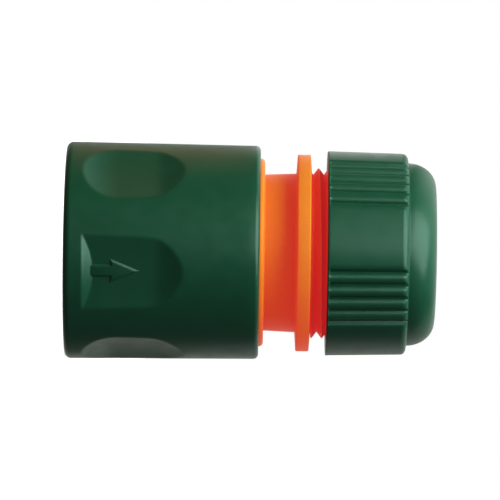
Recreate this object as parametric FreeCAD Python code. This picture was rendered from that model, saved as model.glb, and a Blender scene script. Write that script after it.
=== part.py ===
import FreeCAD, Part
import math
import os

# Click-on connector for a 1/2 inch garden hose, standing on its socket end.
# Millimetres. +Z runs along the water way, from the socket up to the hose nut.
# The origin is the centre of the sleeve's front edge, where the part stands.
# The direction arrow on the sleeve faces -Y.

# Socket tube of the body, which takes the male nipple
socket_radius = 7.9  # sealing bore for the nipple's ring
entry_radius = 8.8  # wider mouth that clears the nipple's ridge
entry_length = 10.7
entry_taper = 1.0
socket_wall = 1.9
socket_depth = 25.1
socket_floor = 2.9
socket_round = 0.4
water_radius = 4.75

# Front ring, pushed over the end of the socket tube
ring_recess = 0.5  # how far the ring sits back from the sleeve's front edge
ring_lip = 1.0
ring_length = 3.1
ring_seat_wall = 0.7
ring_play = 0.05
ring_lead = 0.6
ring_round = 0.3

# Return spring
wire_diameter = 1.0
spring_length = 15.4
spring_turns = 5.5
spring_inner_play = 1.2
spring_outer_play = 1.3
spring_end_play = 0.05
stations_per_turn = 16

# Release sleeve
sleeve_wall = 2.18
sleeve_draft_deg = 0.55
bore_step = 0.45  # wider bore at the rear, for the collar
bore_step_play = 0.3
sleeve_play = 0.2  # running clearance on the body's collar
sleeve_ring_play = 0.3
sleeve_stop_gap = 0.2
sleeve_front_round = 0.9
sleeve_rear_round = 0.5
sleeve_travel = 5.0
ledge_length = 9.4
ledge_play = 0.75
mouth_chamfer = 0.4

# Finger scoops round the sleeve
scoop_count = 6
scoop_front = 2.9
scoop_length = 15.4
scoop_depth = 1.13
scoop_side_radius = 60.0  # hollow of a scoop's floor, across
scoop_front_run = 5.5
scoop_rear_run = 4.8
arrow_every = 3  # each third scoop holds the arrow, and has a coned front wall
arrow_floor_depth = 1.24
arrow_wall_run = 1.6

# Locking claws
claw_count = 4
claw_lift = 1.1  # how far each claw moves outwards as the sleeve is drawn back
claw_play = 0.15
claw_inset = 0.6
claw_length = 6.4
claw_width = 7.6
claw_seat_play = 0.1
tooth_inset = 1.0
tooth_length = 3.8
tooth_width = 5.1
tooth_reach = 3.05  # from the tube's outside to the tooth's tip
tooth_ramp = 1.6
window_play = 0.15

# Collar, neck and flange of the body
collar_thickness = 1.8
collar_round = 0.65
collar_show = 0.7  # collar left in sight behind the sleeve
neck_wall = 2.3
neck_flare = 0.2
flange_gap = 0.7  # left between sleeve and flange when the sleeve is fully back
flange_thickness = 2.0
flange_draft = 0.2
flange_reach = 0.47  # flange radius beyond the sleeve's rear bore
flange_round = 0.2

# Hose, and the spigot it is pushed on
hose_radius = 9.0
cavity_play = 0.7
cavity_round = 0.5
spigot_radius = 6.5
barb_height = 0.45
barb_count = 4
barb_land = 0.6
barb_pitch = 4.2
barb_slope_length = 2.1
spigot_overhang = 6.4
spigot_tip_taper = 1.4

# Clamp thread, stored as its two plain cylinders
thread_length = 9.4
thread_depth = 0.95
thread_play = 0.15
mouth_wall = 1.2

# Grip collet, carried in the nut
collet_play = 0.3
collet_tooth = 0.25
collet_tooth_count = 3
collet_tooth_pitch = 1.5
collet_tooth_start = 0.3  # from the finger's tip to its first tooth
collet_tooth_face = 0.15
collet_tooth_back = 0.75
finger_tip_wall = 0.6
finger_length = 8.4
finger_slope = 0.157
finger_count = 8
finger_slit = 1.2
collet_ring_length = 2.1
collet_round = 0.5
collet_ring_play = 0.2
collet_end_play = 0.2
collet_squeeze_gap = 0.12

# Clamp nut
nut_gap = 2.58  # how far the nut stands off the flange, as loosened for the hose
nut_stop_gap = 0.2
nut_step_gap = 0.25
nut_wall = 2.25
nut_draft_deg = 1.25
nut_grip_length = 12.32
nut_shoulder_round = 0.95
nut_front_round = 0.2
nut_front_rim = 0.25
nut_lip = 2.4
hose_hole_play = 0.6
hose_hole_flare = 0.3
dome_step = 1.42  # from the grip's rear edge in to the dome
dome_height = 4.32  # half height of the ellipse that rounds the dome
dome_crown = 3.6  # half width of the same ellipse
dome_inner_wall = 1.65
rib_groups = 5
ribs_per_group = 4
rib_pitch_deg = 8.0
rib_side_deg = 2.0  # slope at each side of a group
rib_depth = 0.45
rib_relief = 0.05  # how far the rib tops lie below the plain panels
rib_phase_deg = -111.8  # middle of a plain panel between rib groups

cut_margin = 2.0  # how far cutting shapes run past the surface they cut

# Radii that follow
tube_radius = entry_radius + socket_wall
spring_radius = tube_radius + spring_inner_play + wire_diameter / 2
sleeve_bore = spring_radius + wire_diameter / 2 + spring_outer_play
rear_bore = sleeve_bore + bore_step
collar_radius = rear_bore - sleeve_play
ring_radius = sleeve_bore - sleeve_ring_play
ring_seat_radius = tube_radius - ring_seat_wall
flange_radius = rear_bore + flange_reach
cavity_radius = hose_radius + cavity_play
neck_radius = cavity_radius + neck_wall
spigot_core = spigot_radius - barb_height
hose_hole_radius = hose_radius + hose_hole_play
collet_bore = hose_radius + collet_play

# Heights that follow
ring_front_z = ring_recess
tube_front_z = ring_front_z + ring_lip
ring_rear_z = ring_front_z + ring_length
ledge_front_z = ring_rear_z + sleeve_stop_gap
ledge_rear_z = ledge_front_z + ledge_length
collar_front_z = ledge_rear_z + spring_length
collar_rear_z = collar_front_z + collar_thickness
sleeve_length = collar_rear_z - collar_show
bore_step_z = collar_front_z - sleeve_travel - bore_step_play
flange_front_z = sleeve_length + sleeve_travel + flange_gap
flange_rear_z = flange_front_z + flange_thickness
body_rear_z = flange_rear_z + thread_length
socket_floor_z = tube_front_z + socket_depth
cavity_floor_z = socket_floor_z + socket_floor
spigot_tip_z = body_rear_z + spigot_overhang
nut_front_z = flange_rear_z + nut_gap
nut_shoulder_z = nut_front_z + nut_grip_length
nut_rear_z = nut_shoulder_z + dome_height
tighten_travel = nut_gap - nut_stop_gap
nut_step_z = body_rear_z + tighten_travel + nut_step_gap
nut_seat_z = nut_rear_z - nut_lip
collet_rear_z = nut_seat_z - collet_end_play
collet_ring_z = collet_rear_z - collet_ring_length
finger_tip_z = collet_ring_z - finger_length

# Sleeve and claws share one cone, so the claws follow the sleeve as it slides
cone_slope = claw_lift / sleeve_travel
ledge_bore = tube_radius + ledge_play
claw_front_z = ledge_front_z + claw_inset
claw_rear_z = claw_front_z + claw_length
cone_end_z = claw_rear_z + claw_inset
cone_front_radius = ledge_bore + cone_slope * (cone_end_z - ledge_front_z)
tooth_front_z = claw_front_z + tooth_inset
tooth_rear_z = tooth_front_z + tooth_length
tooth_tip_radius = tube_radius - tooth_reach

# Body mouth and collet fingers share one cone, met when the nut is tight
finger_tip_radius = collet_bore + finger_tip_wall
tight_tip_z = finger_tip_z - tighten_travel
mouth_radius = finger_tip_radius + finger_slope * (body_rear_z - tight_tip_z) + collet_squeeze_gap
thread_root = mouth_radius + mouth_wall
thread_crest = thread_root + thread_depth
nut_bore = thread_crest + thread_play
nut_rear_radius = nut_bore + nut_wall
dome_radius = nut_rear_radius - dome_step
dome_bore = dome_radius - dome_inner_wall
collet_ring_radius = dome_bore - collet_ring_play


def cone_radius(z):
    """Radius of the sleeve's inner cone at height z, with the sleeve at rest."""
    return cone_front_radius - cone_slope * (z - ledge_front_z)


def sleeve_radius(z):
    """Outer radius of the sleeve at height z, before the scoops."""
    rear_radius = sleeve_bore + sleeve_wall
    return rear_radius + (sleeve_length - z) * math.tan(math.radians(sleeve_draft_deg))


def corner_edges(corners):
    """Edges of a closed outline in the XZ plane. Each corner is (radius, height, rounding)."""
    points = [FreeCAD.Vector(c[0], 0, c[1]) for c in corners]
    rounds = [c[2] if len(c) > 2 else 0 for c in corners]
    ends = []
    for i, point in enumerate(points):
        before = points[i - 1] - point
        after = points[(i + 1) % len(points)] - point
        if rounds[i] == 0:
            ends.append((point, None, point))
            continue
        half = before.getAngle(after) / 2
        run = rounds[i] / math.tan(half)
        before.normalize()
        after.normalize()
        inward = before + after
        inward.normalize()
        middle = point + inward * (rounds[i] / math.sin(half) - rounds[i])
        ends.append((point + before * run, middle, point + after * run))
    edges = []
    for i, (start, middle, end) in enumerate(ends):
        if middle is not None:
            edges.append(Part.Arc(start, middle, end).toShape())
        following = ends[(i + 1) % len(ends)][0]
        if end.distanceToPoint(following) > 1e-6:
            edges.append(Part.LineSegment(end, following).toShape())
    return edges


def turned(corners):
    """Solid of revolution about Z from a closed outline of corners."""
    return turned_edges(corner_edges(corners))


def turned_edges(edges):
    face = Part.Face(Part.Wire(Part.__sortEdges__(edges)))
    return face.revolve(FreeCAD.Vector(0, 0, 0), FreeCAD.Vector(0, 0, 1), 360)


def about_z(shape, degrees):
    copy = shape.copy()
    copy.rotate(FreeCAD.Vector(0, 0, 0), FreeCAD.Vector(0, 0, 1), degrees)
    return copy


def box(x0, x1, y0, y1, z0, z1):
    return Part.makeBox(x1 - x0, y1 - y0, z1 - z0, FreeCAD.Vector(x0, y0, z0))


def release_sleeve():
    """Outer sleeve: drafted shell, inner ledge with the claw cone, and finger scoops."""
    shell = turned(
        [
            (sleeve_bore, 0, mouth_chamfer),
            (sleeve_radius(0), 0, sleeve_front_round),
            (sleeve_radius(sleeve_length), sleeve_length, sleeve_rear_round),
            (rear_bore, sleeve_length, mouth_chamfer),
            (rear_bore, bore_step_z),
            (sleeve_bore, bore_step_z),
            (sleeve_bore, ledge_rear_z),
            (ledge_bore, ledge_rear_z),
            (ledge_bore, cone_end_z),
            (cone_front_radius, ledge_front_z),
            (sleeve_bore, ledge_front_z),
        ]
    )
    for i in range(scoop_count):
        tool = arrow_scoop() if i % arrow_every == 0 else finger_scoop()
        shell = shell.cut(about_z(tool, -90 + i * 360 / scoop_count))
    return shell


def scoop_ramp(floor, floor_z, run, depth, side):
    """Arc that leads from a scoop's floor out past the sleeve; side is 1 to the rear, -1 to the front."""
    bend = (run**2 + depth**2) / (2 * depth)
    swing = math.acos(1 - (depth + cut_margin) / bend)
    points = []
    for angle in (0, swing / 2, swing):
        x = floor + bend * (1 - math.cos(angle))
        points.append(FreeCAD.Vector(x, 0, floor_z + side * bend * math.sin(angle)))
    return Part.Arc(*points).toShape(), points[-1]


def scoop_cutter(surface, depth, front_run):
    """Cutting shape of a scoop facing +X; with no front run its floor runs out past the front edge."""
    floor = surface - depth
    floor_front = scoop_front + front_run
    floor_rear = scoop_front + scoop_length - scoop_rear_run
    rear_ramp, rear_top = scoop_ramp(floor, floor_rear, scoop_rear_run, depth, 1)
    if front_run > 0:
        front_ramp, front_top = scoop_ramp(floor, floor_front, front_run, depth, -1)
    else:
        floor_front = scoop_front - cut_margin
        front_top = FreeCAD.Vector(surface + cut_margin, 0, floor_front)
        front_ramp = Part.LineSegment(FreeCAD.Vector(floor, 0, floor_front), front_top).toShape()
    start = FreeCAD.Vector(floor, 0, floor_front)
    end = FreeCAD.Vector(floor, 0, floor_rear)
    edges = [
        front_ramp,
        Part.LineSegment(start, end).toShape(),
        rear_ramp,
        Part.LineSegment(rear_top, front_top).toShape(),
    ]
    face = Part.Face(Part.Wire(Part.__sortEdges__(edges)))
    centre = FreeCAD.Vector(floor + scoop_side_radius, 0, 0)
    swing = math.degrees(surface / 2 / scoop_side_radius)
    face.rotate(centre, FreeCAD.Vector(0, 0, 1), -swing)
    return face.revolve(centre, FreeCAD.Vector(0, 0, 1), 2 * swing)


def finger_scoop():
    return scoop_cutter(sleeve_radius(scoop_front + scoop_length / 2), scoop_depth, scoop_front_run)


def arrow_scoop():
    """Cutter of a scoop whose front wall is a cone about the sleeve's own axis."""
    surface = sleeve_radius(scoop_front)
    wall_slope = arrow_wall_run / arrow_floor_depth
    inner = surface - arrow_floor_depth - cut_margin
    outer = surface + 2 * cut_margin
    outer_z = scoop_front - wall_slope * (outer - surface)
    front_keep = turned(
        [
            (inner, outer_z - cut_margin),
            (outer, outer_z - cut_margin),
            (outer, outer_z),
            (inner, scoop_front + wall_slope * (surface - inner)),
        ]
    )
    return scoop_cutter(surface, arrow_floor_depth, 0).cut(front_keep)


def main_body():
    """One moulding: socket tube, collar, neck, flange, threaded wall and barbed spigot."""
    outside = [
        (tube_radius, collar_front_z),
        (collar_radius, collar_front_z),
        (collar_radius, collar_rear_z, collar_round),
        (neck_radius, collar_rear_z),
        (neck_radius + neck_flare, flange_front_z - flange_draft),
        (flange_radius, flange_front_z, flange_round),
        (flange_radius, flange_rear_z, flange_round),
        (thread_root, flange_rear_z + flange_draft),
        (thread_root, body_rear_z),
    ]
    mouth_start_radius = cavity_radius
    mouth_start_z = body_rear_z - (mouth_radius - mouth_start_radius) / finger_slope
    inside = [
        (mouth_radius, body_rear_z),
        (mouth_start_radius, mouth_start_z),
        (cavity_radius, cavity_floor_z, cavity_round),
        (spigot_core, cavity_floor_z, cavity_round),
    ]
    socket = [
        (water_radius, spigot_tip_z),
        (water_radius, socket_floor_z),
        (socket_radius, socket_floor_z, socket_round),
        (socket_radius, tube_front_z + entry_length + entry_taper),
        (entry_radius, tube_front_z + entry_length),
        (entry_radius, tube_front_z),
        (ring_seat_radius, tube_front_z),
        (ring_seat_radius, ring_rear_z + ring_play),
        (tube_radius, ring_rear_z + ring_play),
    ]
    body = turned(outside + inside + spigot_outline() + socket)
    for i in range(claw_count):
        opening = box(
            0,
            tube_radius + cut_margin,
            -tooth_width / 2 - window_play,
            tooth_width / 2 + window_play,
            tooth_front_z - window_play,
            tooth_rear_z + window_play,
        )
        body = body.cut(about_z(opening, claw_angle(i)))
    return body


def spigot_outline():
    """Barbs on the spigot, from the cavity's floor up to the tip."""
    corners = []
    last_land_z = spigot_tip_z - spigot_tip_taper
    for i in range(barb_count):
        top = last_land_z - (barb_count - 1 - i) * barb_pitch
        corners += [
            (spigot_core, top - barb_land),
            (spigot_radius, top - barb_land),
            (spigot_radius, top),
        ]
        if i < barb_count - 1:
            corners.append((spigot_core, top + barb_slope_length))
    corners.append((spigot_core, spigot_tip_z))
    return corners


def claw_angle(i):
    return (i + 0.5) * 360 / claw_count


def front_ring():
    """Ring that closes the socket end and stops the sleeve."""
    return turned(
        [
            (entry_radius, tube_front_z - ring_play),
            (entry_radius, ring_front_z + ring_lead),
            (entry_radius + ring_lead, ring_front_z),
            (ring_radius, ring_front_z, ring_round),
            (ring_radius, ring_rear_z),
            (ring_seat_radius + ring_play, ring_rear_z),
            (ring_seat_radius + ring_play, tube_front_z - ring_play),
        ]
    )


def locking_claw(i):
    """One claw: a coned pad outside the tube and a ramped tooth through its window."""
    pad = turned(
        [
            (tube_radius + claw_seat_play, claw_front_z),
            (cone_radius(claw_front_z) - claw_play, claw_front_z),
            (cone_radius(claw_rear_z) - claw_play, claw_rear_z),
            (tube_radius + claw_seat_play, claw_rear_z),
        ]
    )
    block = box(0, sleeve_bore, -claw_width / 2, claw_width / 2, claw_front_z, claw_rear_z)
    pad = pad.common(block)
    root = tube_radius + claw_play
    ramp_radius = tooth_tip_radius + tooth_ramp
    corners = [
        (tooth_tip_radius, tooth_front_z + tooth_ramp),
        (ramp_radius, tooth_front_z),
        (root, tooth_front_z),
        (root, tooth_rear_z),
        (tooth_tip_radius, tooth_rear_z),
    ]
    face = Part.Face(Part.Wire(Part.__sortEdges__(corner_edges(corners))))
    face.translate(FreeCAD.Vector(0, -tooth_width / 2, 0))
    tooth = face.extrude(FreeCAD.Vector(0, tooth_width, 0))
    claw = pad.fuse(tooth).removeSplitter()
    return about_z(claw, claw_angle(i))


def return_spring():
    """Open-coil compression spring, lofted straight between sections of wire along its helix."""
    front = ledge_rear_z + spring_end_play + wire_diameter / 2
    rear = collar_front_z - spring_end_play - wire_diameter / 2
    stations = math.ceil(spring_turns * stations_per_turn)
    rise = (rear - front) / stations
    turn = 360 * spring_turns / stations
    run = 2 * math.pi * spring_radius * turn / 360
    centre = FreeCAD.Vector(spring_radius, 0, front)
    section = Part.Wire(Part.Circle(centre, FreeCAD.Vector(0, run, rise), wire_diameter / 2).toShape())
    sections = []
    for i in range(stations + 1):
        copy = about_z(section, i * turn)
        copy.translate(FreeCAD.Vector(0, 0, i * rise))
        sections.append(copy)
    return Part.makeLoft(sections, True, True)


def grip_collet():
    """Split collet: a ring seated in the nut, with fingers towards the body's mouth."""
    ring_inner = collet_bore
    finger_root = finger_tip_radius + finger_slope * (collet_ring_z - finger_tip_z)
    teeth = []
    for i in range(collet_tooth_count):
        z = finger_tip_z + collet_tooth_start + (collet_tooth_count - 1 - i) * collet_tooth_pitch
        teeth += [
            (ring_inner, z + collet_tooth_face + collet_tooth_back),
            (ring_inner - collet_tooth, z + collet_tooth_face),
            (ring_inner, z),
        ]
    collet = turned(
        [
            (finger_tip_radius, finger_tip_z),
            (finger_root, collet_ring_z),
            (collet_ring_radius, collet_ring_z),
            (collet_ring_radius, collet_rear_z, collet_round),
            (ring_inner, collet_rear_z, collet_round),
        ]
        + teeth
        + [(ring_inner, finger_tip_z)]
    )
    for i in range(finger_count):
        slit = box(
            0,
            collet_ring_radius + cut_margin,
            -finger_slit / 2,
            finger_slit / 2,
            finger_tip_z - cut_margin,
            collet_ring_z,
        )
        collet = collet.cut(about_z(slit, (i + 0.5) * 360 / finger_count))
    return collet


def clamp_nut():
    """Domed nut with groups of grip ribs round its skirt."""
    skirt = corner_edges(
        [
            (nut_bore, nut_front_z, nut_front_round),
            (nut_radius(nut_front_z), nut_front_z, nut_front_round),
            (nut_rear_radius, nut_shoulder_z, nut_shoulder_round),
            (dome_bore, nut_shoulder_z),
            (dome_bore, nut_step_z),
            (nut_bore, nut_step_z),
        ]
    )
    ribbed = turned_edges(skirt).cut([rib_cutter(group) for group in range(rib_groups)])
    return ribbed.fuse(nut_dome()).removeSplitter()


def nut_dome():
    """Dome over the collet, rounded by a quarter of an ellipse, with the hose's hole in its flat end."""
    crown_radius = dome_radius - dome_crown
    centre = FreeCAD.Vector(crown_radius, 0, nut_shoulder_z)
    side = FreeCAD.Vector(dome_radius, 0, nut_shoulder_z)
    top = FreeCAD.Vector(crown_radius, 0, nut_rear_z)
    longer, shorter = (side, top) if dome_crown > dome_height else (top, side)
    ellipse = Part.Ellipse(longer, shorter, centre)
    curve = Part.ArcOfEllipse(ellipse, 0, math.pi / 2).toShape()
    base = FreeCAD.Vector(dome_radius, 0, nut_step_z)
    inner_base = FreeCAD.Vector(0, 0, nut_step_z)
    inner_top = FreeCAD.Vector(0, 0, nut_rear_z)
    edges = [
        curve,
        Part.LineSegment(top, inner_top).toShape(),
        Part.LineSegment(inner_top, inner_base).toShape(),
        Part.LineSegment(inner_base, base).toShape(),
        Part.LineSegment(base, side).toShape(),
    ]
    dome = turned_edges(edges)
    hollow = turned(
        [
            (0, nut_step_z - cut_margin),
            (dome_bore, nut_step_z - cut_margin),
            (dome_bore, nut_seat_z, collet_round),
            (hose_hole_radius, nut_seat_z),
            (hose_hole_radius, nut_rear_z - hose_hole_flare),
            (hose_hole_radius + hose_hole_flare + cut_margin, nut_rear_z + cut_margin),
            (0, nut_rear_z + cut_margin),
        ]
    )
    return dome.cut(hollow)


def rib_cutter(group):
    """Space round one group of ribs, cut from the skirt from its front rim out through its shoulder."""
    front_z = nut_front_z + nut_front_rim
    rear_z = nut_shoulder_z + cut_margin
    outlines = [rib_outline(nut_radius(z), z) for z in (front_z, rear_z)]
    middle = rib_phase_deg + (group + 0.5) * 360 / rib_groups
    return about_z(Part.makeLoft(outlines, True, True), middle)


def nut_radius(z):
    """Radius of the skirt's plain panels at height z."""
    return nut_rear_radius + (nut_shoulder_z - z) * math.tan(math.radians(nut_draft_deg))


def rib_outline(radius, z):
    """Closed outline at one height, about the X axis: round-topped ribs below, open to the outside."""
    half = ribs_per_group * rib_pitch_deg / 2
    valley = radius - rib_depth
    crest = radius - rib_relief
    outside = radius + cut_margin
    lean = rib_side_deg * (outside - valley) / rib_depth

    def at(r, degrees):
        a = math.radians(degrees)
        return FreeCAD.Vector(r * math.cos(a), r * math.sin(a), z)

    edges = []
    for i in range(ribs_per_group):
        a = i * rib_pitch_deg - half
        top = at(crest, a + rib_pitch_deg / 2)
        edges.append(Part.Arc(at(valley, a), top, at(valley, a + rib_pitch_deg)).toShape())
    edges += [
        Part.LineSegment(at(valley, half), at(outside, half + lean)).toShape(),
        Part.Arc(at(outside, half + lean), at(outside, 0), at(outside, -half - lean)).toShape(),
        Part.LineSegment(at(outside, -half - lean), at(valley, -half)).toShape(),
    ]
    return Part.Wire(edges)


def save(name, shape):
    solids = shape.Solids
    if not solids or not all(s.isValid() and s.isClosed() for s in solids):
        raise ValueError(f"{name} is not a set of sound solids")
    out = solids[0] if len(solids) == 1 else Part.makeCompound(solids)
    out.exportStep(os.path.join("parts", name + ".step"))
    print(f"{name}: {len(solids)} solid, {out.Volume:.1f} mm3")


def build():
    os.makedirs("parts", exist_ok=True)
    save("release_sleeve", release_sleeve())
    save("main_body", main_body())
    save("front_ring", front_ring())
    for i in range(claw_count):
        save(f"locking_claw_{i + 1}", locking_claw(i))
    save("return_spring", return_spring())
    save("grip_collet", grip_collet())
    save("clamp_nut", clamp_nut())


build()
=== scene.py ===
import math

import bmesh
import bpy
import numpy as np
from mathutils import Matrix, Quaternion, Vector


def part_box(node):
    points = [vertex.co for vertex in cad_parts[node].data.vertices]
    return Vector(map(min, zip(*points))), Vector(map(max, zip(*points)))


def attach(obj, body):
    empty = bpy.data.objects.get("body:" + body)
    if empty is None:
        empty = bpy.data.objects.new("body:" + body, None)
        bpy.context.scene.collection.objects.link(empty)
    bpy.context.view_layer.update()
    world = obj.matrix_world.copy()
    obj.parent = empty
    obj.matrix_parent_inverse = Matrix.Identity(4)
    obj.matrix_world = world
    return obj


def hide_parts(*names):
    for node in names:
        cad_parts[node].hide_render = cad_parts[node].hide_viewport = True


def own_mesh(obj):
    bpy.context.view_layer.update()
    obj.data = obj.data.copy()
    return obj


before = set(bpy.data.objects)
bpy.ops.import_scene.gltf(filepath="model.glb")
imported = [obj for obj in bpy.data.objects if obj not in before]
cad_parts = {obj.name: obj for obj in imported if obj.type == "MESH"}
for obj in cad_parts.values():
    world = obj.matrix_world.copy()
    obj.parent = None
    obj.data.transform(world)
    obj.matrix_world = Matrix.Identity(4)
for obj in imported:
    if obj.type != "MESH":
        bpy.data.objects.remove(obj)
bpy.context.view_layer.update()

# Lengths are millimetres here and become metres as they are handed to Blender.
MM = 0.001
FULL_TURN = 2 * math.pi
SHARP_ANGLE = math.radians(40)  # edges that turn by more are shaded sharp
ON_SURFACE = 0.01  # a point this near to a thread's cylinder belongs to it


def node_span(node):
    """Lowest and highest height of a CAD node, and its largest half width along X."""
    low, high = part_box(node)
    return low[2] / MM, high[2] / MM, high[0] / MM


# Roundings that several edges share
KEEN_ROUND = 0.1
FOOT_ROUND = 0.12
EDGE_ROUND = 0.15
RIM_ROUND = 0.2
BORE_ROUND = 0.3
SEAT_ROUND = 0.4
CAVITY_ROUND = 0.5

# Release sleeve
_, SLEEVE_LENGTH, _ = node_span("release_sleeve")
SLEEVE_BORE = 14.2
SLEEVE_REAR_RADIUS = 16.38
SLEEVE_DRAFT = math.radians(0.55)
SLEEVE_FRONT_ROUND = 0.9
SLEEVE_REAR_ROUND = 0.75
REAR_BORE = 14.65
BORE_STEP_Z = 23.3
MOUTH_ROUND = 0.4
LEDGE_FRONT = 3.8
LEDGE_REAR = 13.2
LEDGE_BORE = 11.45
CONE_END = 11.4
CONE_FRONT_RADIUS = 13.122
SLEEVE_COLUMNS = 480

# Scoops round the sleeve
SCOOP_COUNT = 6
SCOOP_FRONT = 2.9
SCOOP_LENGTH = 15.8
SCOOP_DEPTH = 1.13
SCOOP_SIDE_RADIUS = 80.0
SCOOP_FRONT_RUN = 5.5
SCOOP_REAR_RUN = 4.2
SCOOP_REAR_SOFT = 1.2
SCOOP_EDGE_SOFT = 0.12
ARROW_EVERY = 3  # scoops from one arrow to the next
ARROW_SCOOP_DEPTH = 1.24
ARROW_SCOOP_WALL = 1.6  # run of its coned front wall

# Spacing of points along the sleeve's outline, close where the scoops are
SCOOP_SPACING = 0.17
SCOOP_MARGIN = 1  # plain sleeve behind the scoops that still has close points
SLEEVE_REAR_SPACING = 1.4
SLEEVE_BORE_SPACING = 3
CONE_SPACING = 1.5
MOUTH_SPACING = 1

# Raised direction arrow on the floor of each arrow scoop
ARROW_START = 3.9  # inside the scoop's front wall
ARROW_NECK = 7.05
ARROW_TIP = 11.7
ARROW_SHAFT = 1.02
ARROW_HEAD = 1.95
ARROW_HEIGHT = 0.26
ARROW_SLOPE = 0.4
ARROW_TIP_DRAW = 2.2  # how many times further its tip is drawn in than its sides
ARROW_BARB_DRAW = 1.5
ARROW_SUNK = 0.15
ARROW_ROUND = 0.05
ARROW_TURN = math.radians(0.7)

# Body
TUBE_FRONT, SPIGOT_TIP, FLANGE_RADIUS = node_span("main_body")
TUBE_RADIUS = 10.7
ENTRY_RADIUS = 8.8
SOCKET_RADIUS = 7.9
WATER_RADIUS = 4.75
RING_SEAT_RADIUS = 10.0
RING_REAR = 3.65
ENTRY_END = 12.2
SOCKET_START = 13.2
SOCKET_FLOOR = 26.6
COLLAR_FRONT = 28.6
COLLAR_REAR = 30.4
COLLAR_RADIUS = 14.45
COLLAR_ROUND = 0.65
NECK_RADIUS = 12.0
NECK_FLARE = 0.2
FLANGE_FRONT = 35.4
FLANGE_REAR = 37.4
FLANGE_DRAFT = 0.2  # how far each face's foot stands out from its rim
BODY_REAR = 46.8
MOUTH_RADIUS = 10.91
MOUTH_START = 39.1
CAVITY_RADIUS = 9.7
CAVITY_FLOOR = 29.5
BODY_COLUMNS = 320

# Clamp thread on the body and in the nut
THREAD_ROOT = 12.11
THREAD_DEPTH = 0.95
THREAD_PITCH = 1.6
THREAD_CREST_Z = 37.87  # height of a crest at azimuth 0
THREAD_PLAY = 0.2
THREAD_GAIN = 1.12  # above 1, so that the crest is flat
THREAD_LOSS = 0.02  # makes the root flat
THREAD_LEAD = 1.2  # run over which the ridge rises at the body's rear and the nut's front
THREAD_END_GAP = 0.5  # plain stretch before that run
THREAD_SPACING = 0.08
THREAD_FOOT_ROUND = 0.06
THREAD_END_ROUND = 0.25
BODY_THREAD_GAP = 0.25  # from the flange to the first point of the ridge

# Barbed spigot
SPIGOT_CORE = 6.05
SPIGOT_RADIUS = 6.5
BARB_TOP = 51.8
BARB_PITCH = 4.2
BARB_LAND = 0.6
BARB_SLOPE = 2.1
BARB_COUNT = 4
BARB_FOOT_ROUND = 0.08
BARB_FRONT_ROUND = 0.06

# Windows for the claws, cut from inside the tube's bore to outside the tube
CLAW_COUNT = 4
WINDOW_HALF_WIDTH = 2.7
WINDOW_FRONT = 5.25
WINDOW_REAR = 9.35
WINDOW_CUT_RADIUS = 10.0
WINDOW_CUT_DEPTH = 6.0

# Clamp nut
NUT_FRONT, NUT_REAR, _ = node_span("clamp_nut")
NUT_SHOULDER = 52.3
NUT_BORE = 13.21
NUT_REAR_RADIUS = 15.46
NUT_DRAFT = math.radians(1.25)
NUT_STEP = 49.43
NUT_SEAT = 54.22
NUT_SHOULDER_ROUND = 0.95
NUT_FRONT_RIM = 0.25
NUT_SKIN = 0.5  # the skirt's outside is further out from the bore than this
NUT_THREAD_GAP = 0.3
NUT_THREAD_SPACING = 0.25
DOME_RADIUS = 14.04
DOME_BORE = 12.39
DOME_HEIGHT = NUT_REAR - NUT_SHOULDER
DOME_CROWN = 3.6
DOME_STEPS = 22
HOSE_HOLE_RADIUS = 9.6
HOSE_HOLE_FLARE = 0.3

# Ribs on the nut's skirt
RIB_GROUPS = 5
RIB_GROUP_STEP = FULL_TURN / RIB_GROUPS
RIBS_PER_GROUP = 4
RIB_PITCH = math.radians(8.0)
RIB_FLOOR = math.radians(1.6)
RIB_DEPTH = 0.56
RIB_RELIEF = 0.05
RIB_SIDE = math.radians(2.0)
RIB_PHASE = math.radians(-111.8)
RIB_LEAD = 0.12
RIB_FLOOR_SOFT = 0.06
RIB_EDGE_SOFT = 0.07
RIB_COLUMN_STEP = math.radians(0.25)
PLAIN_COLUMNS = 16  # between two rib groups
SKIRT_END = 1  # height of each end of the skirt, where the points are close
SKIRT_END_SPACING = 0.2
SKIRT_SPACING = 1.2
SHOULDER_SPACING = 0.3

# Return spring
SPRING_FRONT, SPRING_REAR, _ = node_span("return_spring")
SPRING_RADIUS = 12.4
WIRE_RADIUS = 0.5
SPRING_TURNS = 5.5
SPRING_STEPS = 40  # a turn
WIRE_SIDES = 12

# Roundings of the nodes that keep their CAD shape, and the gap that is welded first
RING_ROUND = 0.1
COLLET_ROUND = 0.1
CLAW_ROUND = 0.12
WELD_GAP = 0.001

# Materials; noise scales are cells a metre
FLOW_SCALE = 160.0
GRAIN_SCALE = 5200.0
PATCH_SCALE = 420.0
NOISE_LOW = 0.3
NOISE_HIGH = 0.7
SHADE_DISTANCE = 6.0  # reach of the shade that the orange looks for
SHADE_SAMPLES = 8

# Floor
FLOOR_GAP = 0.02  # below the part's front edge
FLOOR_RADIUS = 600.0
FLOOR_SIDES = 128

# Camera, from the photograph: 6.5 pixels a millimetre in a 500 pixel frame
FRAME_PIXELS = 500
PIXELS_PER_MM = 6.5
CAMERA_DISTANCE = 770.0
CAMERA_AZIMUTH = math.radians(-102.1)
CAMERA_TILT = math.radians(0.81)
AXIS_BELOW_CENTRE = 2.3 / PIXELS_PER_MM
FRAME_CENTRE_Z = 28.23
SENSOR_MM = 36.0
NEAR_CLIP = 10.0

# The camera's own directions in the object's frame: toward it, up and right in its picture
TOWARD = Vector((math.cos(CAMERA_AZIMUTH), math.sin(CAMERA_AZIMUTH), 0))
UP = TOWARD.cross(Vector((0, 0, 1)))
RIGHT = Vector((0, 0, 1))


def smooth_min(a, b, soft):
    """Lesser of two surfaces, with the edge between them rounded over about `soft`."""
    h = np.clip(soft - np.abs(a - b), 0, None) / soft
    return np.minimum(a, b) - h * h * soft / 4


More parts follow.
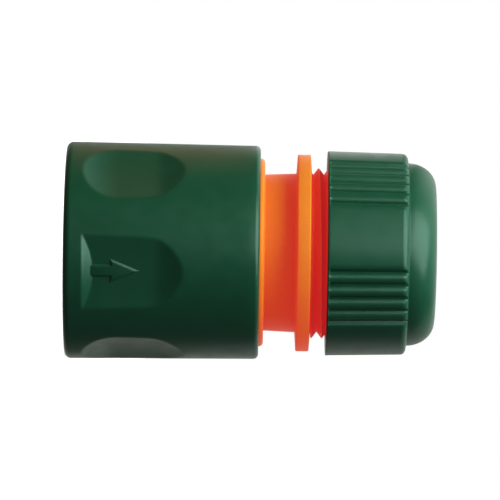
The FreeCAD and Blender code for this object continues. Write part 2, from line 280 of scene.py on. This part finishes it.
def smooth_max(a, b, soft):
    return -smooth_min(-a, -b, soft)


def corner_arc(before, here, after, rounding, steps):
    """Points of the arc that rounds the corner `here` between its two neighbours."""
    before = (before - here) / np.linalg.norm(before - here)
    after = (after - here) / np.linalg.norm(after - here)
    half = math.acos(np.clip(before @ after, -1, 1)) / 2
    run = rounding / math.tan(half)
    inward = (before + after) / np.linalg.norm(before + after)
    centre = here + inward * rounding / math.sin(half)
    start = here + before * run - centre
    end = here + after * run - centre
    sweep = np.sign(start[0] * end[1] - start[1] * end[0]) * (math.pi - 2 * half)
    arc = []
    for k in range(steps + 1):
        c, s = math.cos(sweep * k / steps), math.sin(sweep * k / steps)
        arc.append(centre + np.array([c * start[0] - s * start[1], s * start[0] + c * start[1]]))
    return arc


def outline(corners, arc_steps=6):
    """Closed outline of (radius, height) points.

    Each corner is (radius, height), then its rounding, then the spacing of points on the run after it.
    """
    full = [(*corner, 0, 0)[:4] for corner in corners]
    places = [np.array(corner[:2]) for corner in full]
    pieces = []
    for i, (_, _, rounding, _) in enumerate(full):
        if rounding:
            after = places[(i + 1) % len(places)]
            pieces.append(corner_arc(places[i - 1], places[i], after, rounding, arc_steps))
        else:
            pieces.append([places[i]])
    points = []
    for i, piece in enumerate(pieces):
        points += piece
        spacing = full[i][3]
        run = pieces[(i + 1) % len(pieces)][0] - piece[-1]
        length = np.linalg.norm(run)
        if spacing and length > spacing:
            count = math.ceil(length / spacing)
            points += [piece[-1] + run * k / count for k in range(1, count)]
    return np.array(points)


def even_turn(columns):
    """Azimuths of evenly spaced columns."""
    return np.arange(columns) * FULL_TURN / columns


def add_object(name, data):
    obj = bpy.data.objects.new(name, data)
    bpy.context.scene.collection.objects.link(obj)
    return obj


def mesh_from(bm, name):
    """Mesh of a finished bmesh, which is freed."""
    mesh = bpy.data.meshes.new(name)
    bm.to_mesh(mesh)
    bm.free()
    return mesh


def finish_mesh(name, mesh):
    """Object from a closed mesh, with outward normals and smooth shading between its sharp edges."""
    bm = bmesh.new()
    bm.from_mesh(mesh)
    bmesh.ops.recalc_face_normals(bm, faces=bm.faces)
    bm.to_mesh(mesh)
    bm.free()
    mesh.shade_smooth()
    mesh.set_sharp_from_angle(angle=SHARP_ANGLE)
    return add_object(name, mesh)


def ring_mesh(name, points, azimuth, shape):
    """Closed ring turned about Z from an outline; shape(radius, height, azimuth) gives its surface."""
    rows, columns = len(points), len(azimuth)
    radius = np.repeat(points[:, :1], columns, axis=1)
    height = np.repeat(points[:, 1:], columns, axis=1)
    azimuths = np.repeat(azimuth[None, :], rows, axis=0)
    radius = shape(radius, height, azimuths)
    co = np.stack([radius * np.cos(azimuths), radius * np.sin(azimuths), height], axis=-1)
    index = np.arange(rows * columns).reshape(rows, columns)
    down = np.roll(index, -1, axis=0)
    quads = np.stack([index, np.roll(index, -1, axis=1), np.roll(down, -1, axis=1), down], axis=-1)
    mesh = bpy.data.meshes.new(name)
    mesh.from_pydata((co.reshape(-1, 3) * MM).tolist(), [], quads.reshape(-1, 4).tolist())
    return finish_mesh(name, mesh)


def soften(obj, width, segments, angle):
    """Rounds the edges of a piece that turn by more than `angle` degrees."""
    bevel = obj.modifiers.new("soft_edges", "BEVEL")
    bevel.width = width * MM
    bevel.segments = segments
    bevel.limit_method = "ANGLE"
    bevel.angle_limit = math.radians(angle)


def dress(obj, body, slot):
    """Gives a piece its material and slot, and lets it ride on its body."""
    obj.data.materials.append(materials[slot])
    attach(obj, body)


def dress_node(node, slot, width):
    """Finish for a CAD node that keeps its own shape: its material and softened edges."""
    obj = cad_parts[node]
    obj.data.materials.clear()
    obj.data.materials.append(materials[slot])
    weld = obj.modifiers.new("weld", "WELD")
    weld.merge_threshold = WELD_GAP * MM
    soften(obj, width, segments=2, angle=35)


def sleeve_radius(z):
    return SLEEVE_REAR_RADIUS + (SLEEVE_LENGTH - z) * math.tan(SLEEVE_DRAFT)


def scoop_radius(z, turn, surface, depth, front_run):
    """Radius of a scoop's floor, hollow across, with a straight ramp at the rear.

    A front_run above 0 gives it a round ramp of that length in front.
    """
    past = z - SCOOP_FRONT - SCOOP_LENGTH + SCOOP_REAR_RUN
    ramp = (past + np.sqrt(past**2 + SCOOP_REAR_SOFT**2)) / 2
    side = SCOOP_SIDE_RADIUS - depth / SCOOP_REAR_RUN * ramp
    if front_run > 0:
        ahead = SCOOP_FRONT + front_run - z
        bend = (front_run**2 + depth**2) / (2 * depth)
        side = side - bend + np.sqrt(bend**2 - np.clip(ahead, 0, bend) ** 2)
    far = surface - depth + SCOOP_SIDE_RADIUS
    return far * np.cos(turn) - np.sqrt(side**2 - (far * np.sin(turn)) ** 2)


def arrow_scoop(z, turn):
    """Scoop that holds the arrow, with a coned wall at its front."""
    surface = sleeve_radius(SCOOP_FRONT)
    wall = surface - (z - SCOOP_FRONT) * ARROW_SCOOP_DEPTH / ARROW_SCOOP_WALL
    floor = scoop_radius(z, turn, surface, ARROW_SCOOP_DEPTH, 0)
    return smooth_max(floor, wall, SCOOP_EDGE_SOFT)


def finger_scoop(z, turn):
    surface = sleeve_radius(SCOOP_FRONT + SCOOP_LENGTH / 2)
    return scoop_radius(z, turn, surface, SCOOP_DEPTH, SCOOP_FRONT_RUN)


def sleeve_shape(radius, z, azimuth):
    """Cuts the scoops into the sleeve. Those at -90 and 90 degrees hold the arrows."""
    for i in range(SCOOP_COUNT):
        centre = -math.pi / 2 + i * FULL_TURN / SCOOP_COUNT
        turn = (azimuth - centre + math.pi) % FULL_TURN - math.pi
        near = np.abs(turn) < math.pi / SCOOP_COUNT
        turn = np.where(near, turn, 0)
        scoop = arrow_scoop(z, turn) if i % ARROW_EVERY == 0 else finger_scoop(z, turn)
        radius = np.where(near, smooth_min(radius, scoop, SCOOP_EDGE_SOFT), radius)
    return radius


def make_sleeve():
    past_scoops = SCOOP_FRONT + SCOOP_LENGTH + SCOOP_MARGIN
    points = outline(
        [
            (SLEEVE_BORE, 0, MOUTH_ROUND),
            (sleeve_radius(0), 0, SLEEVE_FRONT_ROUND, SCOOP_SPACING),
            (sleeve_radius(past_scoops), past_scoops, 0, SLEEVE_REAR_SPACING),
            (SLEEVE_REAR_RADIUS, SLEEVE_LENGTH, SLEEVE_REAR_ROUND),
            (REAR_BORE, SLEEVE_LENGTH, MOUTH_ROUND, SLEEVE_BORE_SPACING),
            (REAR_BORE, BORE_STEP_Z, KEEN_ROUND),
            (SLEEVE_BORE, BORE_STEP_Z, KEEN_ROUND, SLEEVE_BORE_SPACING),
            (SLEEVE_BORE, LEDGE_REAR, KEEN_ROUND),
            (LEDGE_BORE, LEDGE_REAR, KEEN_ROUND),
            (LEDGE_BORE, CONE_END, 0, CONE_SPACING),
            (CONE_FRONT_RADIUS, LEDGE_FRONT, KEEN_ROUND),
            (SLEEVE_BORE, LEDGE_FRONT, KEEN_ROUND, MOUTH_SPACING),
        ]
    )
    obj = ring_mesh("sleeve_shell", points, even_turn(SLEEVE_COLUMNS), sleeve_shape)
    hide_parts("release_sleeve")
    dress(obj, "sleeve", "green_plastic")


def arrow_outline(shrink):
    """Arrow as (side, height) points from its tip round to the far barb.

    Its sides and head are drawn in by `shrink`, and its pointed corners by more.
    """
    half = [
        (0, ARROW_TIP - ARROW_TIP_DRAW * shrink),
        (ARROW_HEAD - ARROW_BARB_DRAW * shrink, ARROW_NECK + shrink),
        (ARROW_SHAFT - shrink, ARROW_NECK + shrink),
        (ARROW_SHAFT - shrink, ARROW_START),
    ]
    return half + [(-side, z) for side, z in reversed(half[1:])]


def make_arrow(name, azimuth):
    """Raised arrow on the floor of an arrow scoop, with sloping sides."""
    floor = sleeve_radius(SCOOP_FRONT) - ARROW_SCOOP_DEPTH
    levels = [(floor - ARROW_SUNK, 0), (floor, 0), (floor + ARROW_HEIGHT, ARROW_SLOPE)]
    bm = bmesh.new()
    rings = []
    for level, shrink in levels:
        points = arrow_outline(shrink)
        rings.append([bm.verts.new((level * MM, y * MM, z * MM)) for y, z in points])
    tip, barb, neck, start, start_far, neck_far, barb_far = range(7)
    for ring in (rings[0], rings[-1]):
        for face in ((tip, barb, neck), (tip, neck, neck_far), (tip, neck_far, barb_far)):
            bm.faces.new([ring[i] for i in face])
        bm.faces.new([ring[i] for i in (neck, start, start_far, neck_far)])
    for lower, upper in zip(rings, rings[1:]):
        for i in range(len(lower)):
            bm.faces.new((lower[i - 1], lower[i], upper[i], upper[i - 1]))
    mesh = mesh_from(bm, name)
    mesh.transform(Matrix.Rotation(azimuth, 4, "Z"))
    obj = finish_mesh(name, mesh)
    soften(obj, ARROW_ROUND, segments=3, angle=25)
    dress(obj, "sleeve", "green_plastic")


def thread_rise(z, azimuth):
    """Height of the clamp thread's ridge above its root, a right-hand helix."""
    turn = ((z - THREAD_CREST_Z) / THREAD_PITCH - azimuth / FULL_TURN) % 1
    from_crest = np.minimum(turn, 1 - turn) * 2
    return THREAD_DEPTH * np.clip(THREAD_GAIN * (1 - from_crest) - THREAD_LOSS, 0, 1)


def body_shape(radius, z, azimuth):
    """Raises the thread's ridge on the body."""
    on_thread = (np.abs(radius - THREAD_ROOT) < ON_SURFACE) & (z > FLANGE_REAR + BODY_THREAD_GAP)
    lead = np.clip((BODY_REAR - THREAD_END_GAP - z) / THREAD_LEAD, 0, 1)
    return radius + np.where(on_thread, thread_rise(z, azimuth) * lead, 0)


def spigot_corners():
    corners = []
    for i in range(BARB_COUNT):
        top = BARB_TOP - (BARB_COUNT - 1 - i) * BARB_PITCH
        corners += [
            (SPIGOT_CORE, top - BARB_LAND, BARB_FOOT_ROUND),
            (SPIGOT_RADIUS, top - BARB_LAND, BARB_FRONT_ROUND),
            (SPIGOT_RADIUS, top, KEEN_ROUND),
        ]
        if i < BARB_COUNT - 1:
            corners.append((SPIGOT_CORE, top + BARB_SLOPE, BORE_ROUND))
    corners.append((SPIGOT_CORE, SPIGOT_TIP, BORE_ROUND))
    return corners


def make_body():
    points = outline(
        [
            (TUBE_RADIUS, COLLAR_FRONT, RIM_ROUND),
            (COLLAR_RADIUS, COLLAR_FRONT, EDGE_ROUND),
            (COLLAR_RADIUS, COLLAR_REAR, COLLAR_ROUND),
            (NECK_RADIUS, COLLAR_REAR, FOOT_ROUND),
            (NECK_RADIUS + NECK_FLARE, FLANGE_FRONT - FLANGE_DRAFT, EDGE_ROUND),
            (FLANGE_RADIUS, FLANGE_FRONT, RIM_ROUND),
            (FLANGE_RADIUS, FLANGE_REAR, RIM_ROUND),
            (THREAD_ROOT, FLANGE_REAR + FLANGE_DRAFT, THREAD_FOOT_ROUND, THREAD_SPACING),
            (THREAD_ROOT, BODY_REAR, THREAD_END_ROUND),
            (MOUTH_RADIUS, BODY_REAR, EDGE_ROUND),
            (CAVITY_RADIUS, MOUTH_START, CAVITY_ROUND),
            (CAVITY_RADIUS, CAVITY_FLOOR, CAVITY_ROUND),
            (SPIGOT_CORE, CAVITY_FLOOR, CAVITY_ROUND),
        ]
        + spigot_corners()
        + [
            (WATER_RADIUS, SPIGOT_TIP, BORE_ROUND),
            (WATER_RADIUS, SOCKET_FLOOR, BORE_ROUND),
            (SOCKET_RADIUS, SOCKET_FLOOR, SEAT_ROUND),
            (SOCKET_RADIUS, SOCKET_START, RIM_ROUND),
            (ENTRY_RADIUS, ENTRY_END, RIM_ROUND),
            (ENTRY_RADIUS, TUBE_FRONT, EDGE_ROUND),
            (RING_SEAT_RADIUS, TUBE_FRONT, EDGE_ROUND),
            (RING_SEAT_RADIUS, RING_REAR, KEEN_ROUND),
            (TUBE_RADIUS, RING_REAR, RIM_ROUND),
        ],
        arc_steps=4,
    )
    obj = ring_mesh("body_moulding", points, even_turn(BODY_COLUMNS), body_shape)
    cut_windows(obj)
    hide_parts("main_body")
    dress(obj, "body", "orange_plastic")


def cut_windows(obj):
    """Cuts the claws' windows through the socket tube."""
    bm = bmesh.new()
    size = (WINDOW_CUT_DEPTH * MM, 2 * WINDOW_HALF_WIDTH * MM, (WINDOW_REAR - WINDOW_FRONT) * MM)
    place = Vector((WINDOW_CUT_RADIUS * MM, 0, (WINDOW_REAR + WINDOW_FRONT) / 2 * MM))
    for i in range(CLAW_COUNT):
        made = bmesh.ops.create_cube(bm, size=1)["verts"]
        turn = Matrix.Rotation((i + 0.5) * FULL_TURN / CLAW_COUNT, 4, "Z")
        matrix = turn @ Matrix.Translation(place) @ Matrix.Diagonal(size).to_4x4()
        bmesh.ops.transform(bm, matrix=matrix, verts=made)
    cutter = add_object("window_cutters", mesh_from(bm, "window_cutters"))
    cut = obj.modifiers.new("windows", "BOOLEAN")
    cut.operation = "DIFFERENCE"
    cut.solver = "EXACT"
    cut.object = cutter
    evaluated = obj.evaluated_get(bpy.context.evaluated_depsgraph_get())
    result = bpy.data.meshes.new_from_object(evaluated)
    obj.modifiers.clear()
    obj.data = result
    obj.data.set_sharp_from_angle(angle=SHARP_ANGLE)
    bpy.data.objects.remove(cutter)


def nut_radius(z):
    return NUT_REAR_RADIUS + (NUT_SHOULDER - z) * math.tan(NUT_DRAFT)


def rib_radius(z, turn):
    """Radius of a rib group's surface at the angle `turn` from the group's middle.

    The ribs are round, the floors between them are narrow and the group's two sides slope. At the nut's
    front the surface rises to the plain skirt, so that the grooves stop before the edge.
    """
    half = RIBS_PER_GROUP * RIB_PITCH / 2
    plain = nut_radius(z)
    valley = plain - RIB_DEPTH
    crest = plain - RIB_RELIEF
    across = (turn + half) % RIB_PITCH - RIB_PITCH / 2
    half_rib = (RIB_PITCH - RIB_FLOOR) / 2
    chord = valley * math.sin(half_rib)
    rise = crest - valley * math.cos(half_rib)
    bend = (chord**2 + rise**2) / (2 * rise)
    middle = crest - bend
    reach = np.sqrt(np.clip(bend**2 - (middle * np.sin(across)) ** 2, 0, None))
    ribs = smooth_max(middle * np.cos(across) + reach, valley, RIB_FLOOR_SOFT)
    side = valley + (np.abs(turn) - half) * RIB_DEPTH / RIB_SIDE
    past_rim = np.clip((z - NUT_FRONT - NUT_FRONT_RIM) / RIB_LEAD, 0, 1)
    return np.where(np.abs(turn) < half, ribs, side) + RIB_DEPTH * (1 - past_rim)


def nut_shape(radius, z, azimuth):
    """Cuts the rib groups into the skirt and the thread into the bore."""
    turn = (azimuth - RIB_PHASE) % RIB_GROUP_STEP - RIB_GROUP_STEP / 2
    outside = radius > NUT_BORE + NUT_SKIN
    radius = np.where(outside, smooth_min(radius, rib_radius(z, turn), RIB_EDGE_SOFT), radius)
    in_bore = (np.abs(radius - NUT_BORE) < ON_SURFACE) & (z > NUT_FRONT + NUT_THREAD_GAP)
    lead = np.clip((z - NUT_FRONT - THREAD_END_GAP) / THREAD_LEAD, 0, 1)
    cut = THREAD_ROOT + thread_rise(z, azimuth) + THREAD_PLAY
    threaded = NUT_BORE + (np.minimum(cut, NUT_BORE) - NUT_BORE) * lead
    return np.where(in_bore, threaded, radius)


def nut_turn():
    """Azimuths of the nut's columns, close together in the rib groups."""
    ribbed = RIBS_PER_GROUP * RIB_PITCH + 2 * RIB_SIDE
    plain = RIB_GROUP_STEP - ribbed
    close = np.arange(round(ribbed / RIB_COLUMN_STEP)) * RIB_COLUMN_STEP
    wide = ribbed + np.arange(PLAIN_COLUMNS) * plain / PLAIN_COLUMNS
    group = np.concatenate([close, wide]) + plain / 2
    return np.concatenate([RIB_PHASE + k * RIB_GROUP_STEP + group for k in range(RIB_GROUPS)])


def dome_points():
    """Dome outline from the shoulder to its flat end, a quarter of an ellipse."""
    angles = [math.pi / 2 * k / DOME_STEPS for k in range(1, DOME_STEPS + 1)]
    crown = DOME_RADIUS - DOME_CROWN
    return [(crown + DOME_CROWN * math.cos(a), NUT_SHOULDER + DOME_HEIGHT * math.sin(a)) for a in angles]


def make_nut():
    low, high = NUT_FRONT + SKIRT_END, NUT_SHOULDER - SKIRT_END
    points = outline(
        [
            (NUT_BORE, NUT_FRONT, RIM_ROUND),
            (nut_radius(NUT_FRONT), NUT_FRONT, RIM_ROUND, SKIRT_END_SPACING),
            (nut_radius(low), low, 0, SKIRT_SPACING),
            (nut_radius(high), high, 0, SKIRT_END_SPACING),
            (NUT_REAR_RADIUS, NUT_SHOULDER, NUT_SHOULDER_ROUND, SHOULDER_SPACING),
            (DOME_RADIUS, NUT_SHOULDER, FOOT_ROUND),
        ]
        + dome_points()
        + [
            (HOSE_HOLE_RADIUS + HOSE_HOLE_FLARE, NUT_REAR, KEEN_ROUND),
            (HOSE_HOLE_RADIUS, NUT_REAR - HOSE_HOLE_FLARE, EDGE_ROUND),
            (HOSE_HOLE_RADIUS, NUT_SEAT, KEEN_ROUND),
            (DOME_BORE, NUT_SEAT, SEAT_ROUND),
            (DOME_BORE, NUT_STEP, KEEN_ROUND),
            (NUT_BORE, NUT_STEP, KEEN_ROUND, NUT_THREAD_SPACING),
        ],
        arc_steps=4,
    )
    obj = ring_mesh("nut_shell", points, nut_turn(), nut_shape)
    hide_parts("clamp_nut")
    dress(obj, "nut", "green_plastic")


def make_spring():
    """Round wire swept along its helix."""
    count = int(SPRING_TURNS * SPRING_STEPS)
    rise = (SPRING_REAR - SPRING_FRONT - 2 * WIRE_RADIUS) / count
    lead = math.atan2(rise * SPRING_STEPS, FULL_TURN * SPRING_RADIUS)
    verts, faces = [], []
    for i in range(count + 1):
        a = FULL_TURN * i / SPRING_STEPS
        outward = np.array([math.cos(a), math.sin(a), 0])
        along = np.array([-math.sin(a) * math.cos(lead), math.cos(a) * math.cos(lead), math.sin(lead)])
        across = np.cross(along, outward)
        centre = outward * SPRING_RADIUS + np.array([0, 0, SPRING_FRONT + WIRE_RADIUS + rise * i])
        for k in range(WIRE_SIDES):
            b = FULL_TURN * k / WIRE_SIDES
            verts.append((centre + WIRE_RADIUS * (math.cos(b) * outward + math.sin(b) * across)) * MM)
    for i in range(count):
        here, beyond = i * WIRE_SIDES, (i + 1) * WIRE_SIDES
        for k in range(WIRE_SIDES):
            n = (k + 1) % WIRE_SIDES
            faces.append((here + k, here + n, beyond + n, beyond + k))
    faces.append(tuple(range(WIRE_SIDES)))
    faces.append(tuple(count * WIRE_SIDES + k for k in range(WIRE_SIDES)))
    mesh = bpy.data.meshes.new("spring_coil")
    mesh.from_pydata([tuple(v) for v in verts], [], faces)
    obj = finish_mesh("spring_coil", mesh)
    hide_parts("return_spring")
    dress(obj, "body", "spring_wire")
    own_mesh(obj)


def set_inputs(tree, node, inputs):
    """Links each input that is given a socket, and sets each one that is given a value."""
    for name, value in inputs.items():
        if isinstance(value, bpy.types.NodeSocket):
            tree.links.new(value, node.inputs[name])
        else:
            node.inputs[name].default_value = value


def new_node(tree, kind, inputs):
    node = tree.nodes.new(kind)
    set_inputs(tree, node, inputs)
    return node


def new_material(name):
    """New material, with its node tree, its shader and the piece's own coordinates."""
    material = bpy.data.materials.new(name)
    material.use_nodes = True
    tree = material.node_tree
    coords = tree.nodes.new("ShaderNodeTexCoord").outputs["Object"]
    return material, tree, tree.nodes["Principled BSDF"], coords


def noise(tree, coords, scale, detail):
    inputs = {"Vector": coords, "Scale": scale, "Detail": detail}
    return new_node(tree, "ShaderNodeTexNoise", inputs).outputs["Fac"]


def spread(tree, source, low, high, from_low=NOISE_LOW, from_high=NOISE_HIGH):
    """Maps from_low..from_high to low..high; unless told otherwise, from the middle range of a noise."""
    inputs = {"Value": source, "From Min": from_low, "From Max": from_high, "To Min": low, "To Max": high}
    return new_node(tree, "ShaderNodeMapRange", inputs).outputs["Result"]


def mix_colour(tree, factor, a, b):
    """Mixes two colours, each a socket or a plain colour."""
    node = tree.nodes.new("ShaderNodeMix")
    node.data_type = "RGBA"
    a, b = (c if isinstance(c, bpy.types.NodeSocket) else (*c, 1) for c in (a, b))
    # Sockets of a mix node share their names between data types, so they go by number.
    set_inputs(tree, node, {0: factor, 6: a, 7: b})
    return node.outputs[2]


def mottled(tree, coords, scale, detail, one, other):
    """Colour that wanders between two shades in soft blotches."""
    return mix_colour(tree, spread(tree, noise(tree, coords, scale, detail), 0.0, 1.0), one, other)


def bump(tree, height, depth, normal=None):
    """Normal that a noise of the given depth raises, over another one where that is given."""
    inputs = {"Height": height, "Distance": depth * MM, "Strength": 1.0}
    if normal is not None:
        inputs["Normal"] = normal
    return new_node(tree, "ShaderNodeBump", inputs).outputs["Normal"]


def moulded_surface(tree, shader, coords, grain, waviness, roughness):
    """Fine spark-eroded grain over slow flow marks, with roughness that varies a little."""
    flow = bump(tree, noise(tree, coords, FLOW_SCALE, 2.0), waviness)
    normal = bump(tree, noise(tree, coords, GRAIN_SCALE, 2.0), grain, flow)
    patches = noise(tree, coords, PATCH_SCALE, 4.0)
    set_inputs(tree, shader, {"Normal": normal, "Roughness": spread(tree, patches, *roughness)})


def make_green():
    material, tree, shader, coords = new_material("green_plastic")
    colour = mottled(tree, coords, 260.0, 5.0, (0.0070, 0.077, 0.0365), (0.0085, 0.087, 0.0415))
    set_inputs(tree, shader, {"Base Color": colour, "IOR": 1.5, "Specular Tint": (0.72, 1.0, 0.92, 1)})
    moulded_surface(tree, shader, coords, grain=0.0012, waviness=0.008, roughness=(0.28, 0.36))
    return material


def make_orange():
    """Orange plastic with a painted red glow all over, and painted shade in its hollows: redder, less
    green and glowing less there.
    """
    material, tree, shader, coords = new_material("orange_plastic")
    lit_colour = mottled(tree, coords, 300.0, 5.0, (0.25, 0.235, 0.008), (0.28, 0.255, 0.010))
    # Ambient occlusion paints shade into the base colour and the glow; the mask is 1 in the open and 0
    # deep in hollows.
    shade = new_node(tree, "ShaderNodeAmbientOcclusion", {"Distance": SHADE_DISTANCE * MM})
    shade.samples = SHADE_SAMPLES
    painted_shade_mask = spread(tree, shade.outputs["AO"], 0.0, 1.0, from_low=0.3, from_high=0.9)
    inputs = {
        "Base Color": mix_colour(tree, painted_shade_mask, (0.56, 0.18, 0.008), lit_colour),
        "IOR": 1.45,
        "Specular IOR Level": 0.3,
        "Specular Tint": (1.0, 0.5, 0.2, 1),
        # The emission is a painted red glow, not a lamp.
        "Emission Color": mix_colour(tree, painted_shade_mask, (0.34, 0.006, 0.013), (0.60, 0.03, 0.018)),
        "Emission Strength": 1.0,
    }
    set_inputs(tree, shader, inputs)
    moulded_surface(tree, shader, coords, grain=0.0012, waviness=0.006, roughness=(0.36, 0.44))
    return material


def make_acetal():
    material, tree, shader, coords = new_material("white_acetal")
    colour = mottled(tree, coords, 400.0, 4.0, (0.74, 0.73, 0.68), (0.82, 0.81, 0.77))
    set_inputs(tree, shader, {"Base Color": colour})
    moulded_surface(tree, shader, coords, grain=0.002, waviness=0.006, roughness=(0.34, 0.42))
    return material


def make_wire():
    material, tree, shader, coords = new_material("spring_wire")
    streak = noise(tree, coords, 2400.0, 6.0)
    factor = spread(tree, streak, 0.0, 1.0)
    inputs = {
        "Base Color": mix_colour(tree, factor, (0.5, 0.5, 0.51), (0.68, 0.68, 0.69)),
        "Metallic": 1.0,
        "Roughness": spread(tree, streak, 0.22, 0.4),
    }
    set_inputs(tree, shader, inputs)
    return material


def make_floor():
    """Pale round table top under the part."""
    bm = bmesh.new()
    bmesh.ops.create_circle(bm, cap_ends=True, radius=FLOOR_RADIUS * MM, segments=FLOOR_SIDES)
    floor = add_object("floor", mesh_from(bm, "floor"))
    material, tree, shader, coords = new_material("pale_floor")
    inputs = {
        "Base Color": mottled(tree, coords, 40.0, 4.0, (0.86, 0.86, 0.86), (0.9, 0.9, 0.9)),
        "Roughness": 0.9,
        "Emission Color": (1, 1, 1, 1),
        "Emission Strength": 0.8,
    }
    set_inputs(tree, shader, inputs)
    floor.data.materials.append(material)
    floor.location.z = -FLOOR_GAP * MM
    floor.visible_glossy = False
    floor.visible_diffuse = False


def make_camera():
    """Camera square to the part's axis, which lies level in the picture but for the photograph's tilt."""
    right = math.cos(CAMERA_TILT) * RIGHT + math.sin(CAMERA_TILT) * UP
    up = math.cos(CAMERA_TILT) * UP - math.sin(CAMERA_TILT) * RIGHT
    target = Vector((0, 0, FRAME_CENTRE_Z)) + UP * AXIS_BELOW_CENTRE
    place = target + TOWARD * CAMERA_DISTANCE
    data = bpy.data.cameras.new("camera")
    data.sensor_width = SENSOR_MM
    data.lens = PIXELS_PER_MM * CAMERA_DISTANCE / FRAME_PIXELS * SENSOR_MM
    data.clip_start = NEAR_CLIP * MM
    camera = add_object("camera", data)
    turn = Matrix((right, up, TOWARD)).transposed().to_4x4()
    camera.matrix_world = Matrix.Translation(place * MM) @ turn
    bpy.context.scene.camera = camera


def softbox(name, direction, distance, size, radiance, aim_z, roll=0.0):
    """Area light aimed at the height aim_z on the part's axis.

    direction is (right, up, toward the camera), size is (width, height) and roll is in degrees.
    """
    right, up, toward = direction
    width, height = size[0] * MM, size[1] * MM
    way = (RIGHT * right + UP * up + TOWARD * toward).normalized()
    data = bpy.data.lights.new(name, "AREA")
    data.shape = "RECTANGLE"
    data.size = width
    data.size_y = height
    data.energy = radiance * math.pi * width * height
    light = add_object(name, data)
    light.location = Vector((0, 0, aim_z * MM)) + way * (distance * MM)
    aim = way.to_track_quat("Z", "Y") @ Quaternion((0, 0, 1), math.radians(roll))
    light.rotation_euler = aim.to_euler()
    light.visible_camera = False
    return light


def make_lights():
    """Key light with its sheen, a weak fill from below, and two cards that show in the gloss alone."""
    sheen = softbox("sheen", (0.65, 0.27, 0.71), 200, (220, 260), 3.6, NUT_SHOULDER, roll=-14)
    key = softbox("key", (0.78, 0.40, 0.48), 250, (250, 250), 5.6, NUT_SHOULDER)
    softbox("reflector", (0.3, -0.75, -0.6), 200, (120, 200), 0.3, NUT_SHOULDER)
    red_card = softbox("red_card", (0, 0.905, -0.425), 114, (109, 34), 0.6, SLEEVE_LENGTH / 2 - 1)
    red_card.data.color = (0.8, 0.2, 0.12)
    grey_card = softbox("grey_card", (0, 0.57, -0.82), 120, (100, 30), 0.6, NUT_SHOULDER - 5)
    key.visible_glossy = False
    for light in (sheen, red_card, grey_card):
        light.visible_diffuse = False


def make_world():
    """Dim studio with white paper behind and to the right, seen plain white by the camera itself."""
    world = bpy.data.worlds.new("studio")
    bpy.context.scene.world = world
    world.use_nodes = True
    tree = world.node_tree
    tree.nodes.clear()
    way = tree.nodes.new("ShaderNodeTexCoord").outputs["Generated"]

    def along(direction, low, high):
        dot = tree.nodes.new("ShaderNodeVectorMath")
        dot.operation = "DOT_PRODUCT"
        set_inputs(tree, dot, {0: way, 1: direction})
        return spread(tree, dot.outputs["Value"], 0.0, 1.0, low, high)

    def both(one, other):
        product = tree.nodes.new("ShaderNodeMath")
        product.operation = "MULTIPLY"
        set_inputs(tree, product, {0: one, 1: other})
        return product.outputs[0]

    colour = mix_colour(tree, along(UP, 0.1, 0.35), (0.09, 0.09, 0.09), (0.12, 0.08, 0.045))
    colour = mix_colour(tree, along(-TOWARD, 0.3, 0.9), colour, (0.165, 0.21, 0.14))
    colour = mix_colour(tree, along(-TOWARD, 0.75, 0.97), colour, (0.55, 0.55, 0.52))
    screen = both(along(RIGHT, 0.15, 0.5), along(-TOWARD, -0.2, 0.2))
    screen = both(screen, along(UP, -0.5, -0.05))
    colour = mix_colour(tree, screen, colour, (1.0, 1.0, 1.0))
    rays = tree.nodes.new("ShaderNodeLightPath")
    colour = mix_colour(tree, rays.outputs["Is Camera Ray"], colour, (1.0, 1.0, 1.0))
    background = new_node(tree, "ShaderNodeBackground", {"Color": colour})
    new_node(tree, "ShaderNodeOutputWorld", {"Surface": background.outputs[0]})


make_camera()
make_lights()
make_world()
bpy.context.scene.view_settings.view_transform = "Standard"

materials = {
    "green_plastic": make_green(),
    "orange_plastic": make_orange(),
    "white_acetal": make_acetal(),
    "spring_wire": make_wire(),
}

make_floor()
make_sleeve()
make_arrow("arrow_near", -math.pi / 2 - ARROW_TURN)
make_arrow("arrow_far", math.pi / 2 - ARROW_TURN)
make_body()
make_nut()
make_spring()
dress_node("front_ring", "orange_plastic", RING_ROUND)
dress_node("grip_collet", "orange_plastic", COLLET_ROUND)
for claw in range(CLAW_COUNT):
    dress_node(f"locking_claw_{claw + 1}", "white_acetal", CLAW_ROUND)
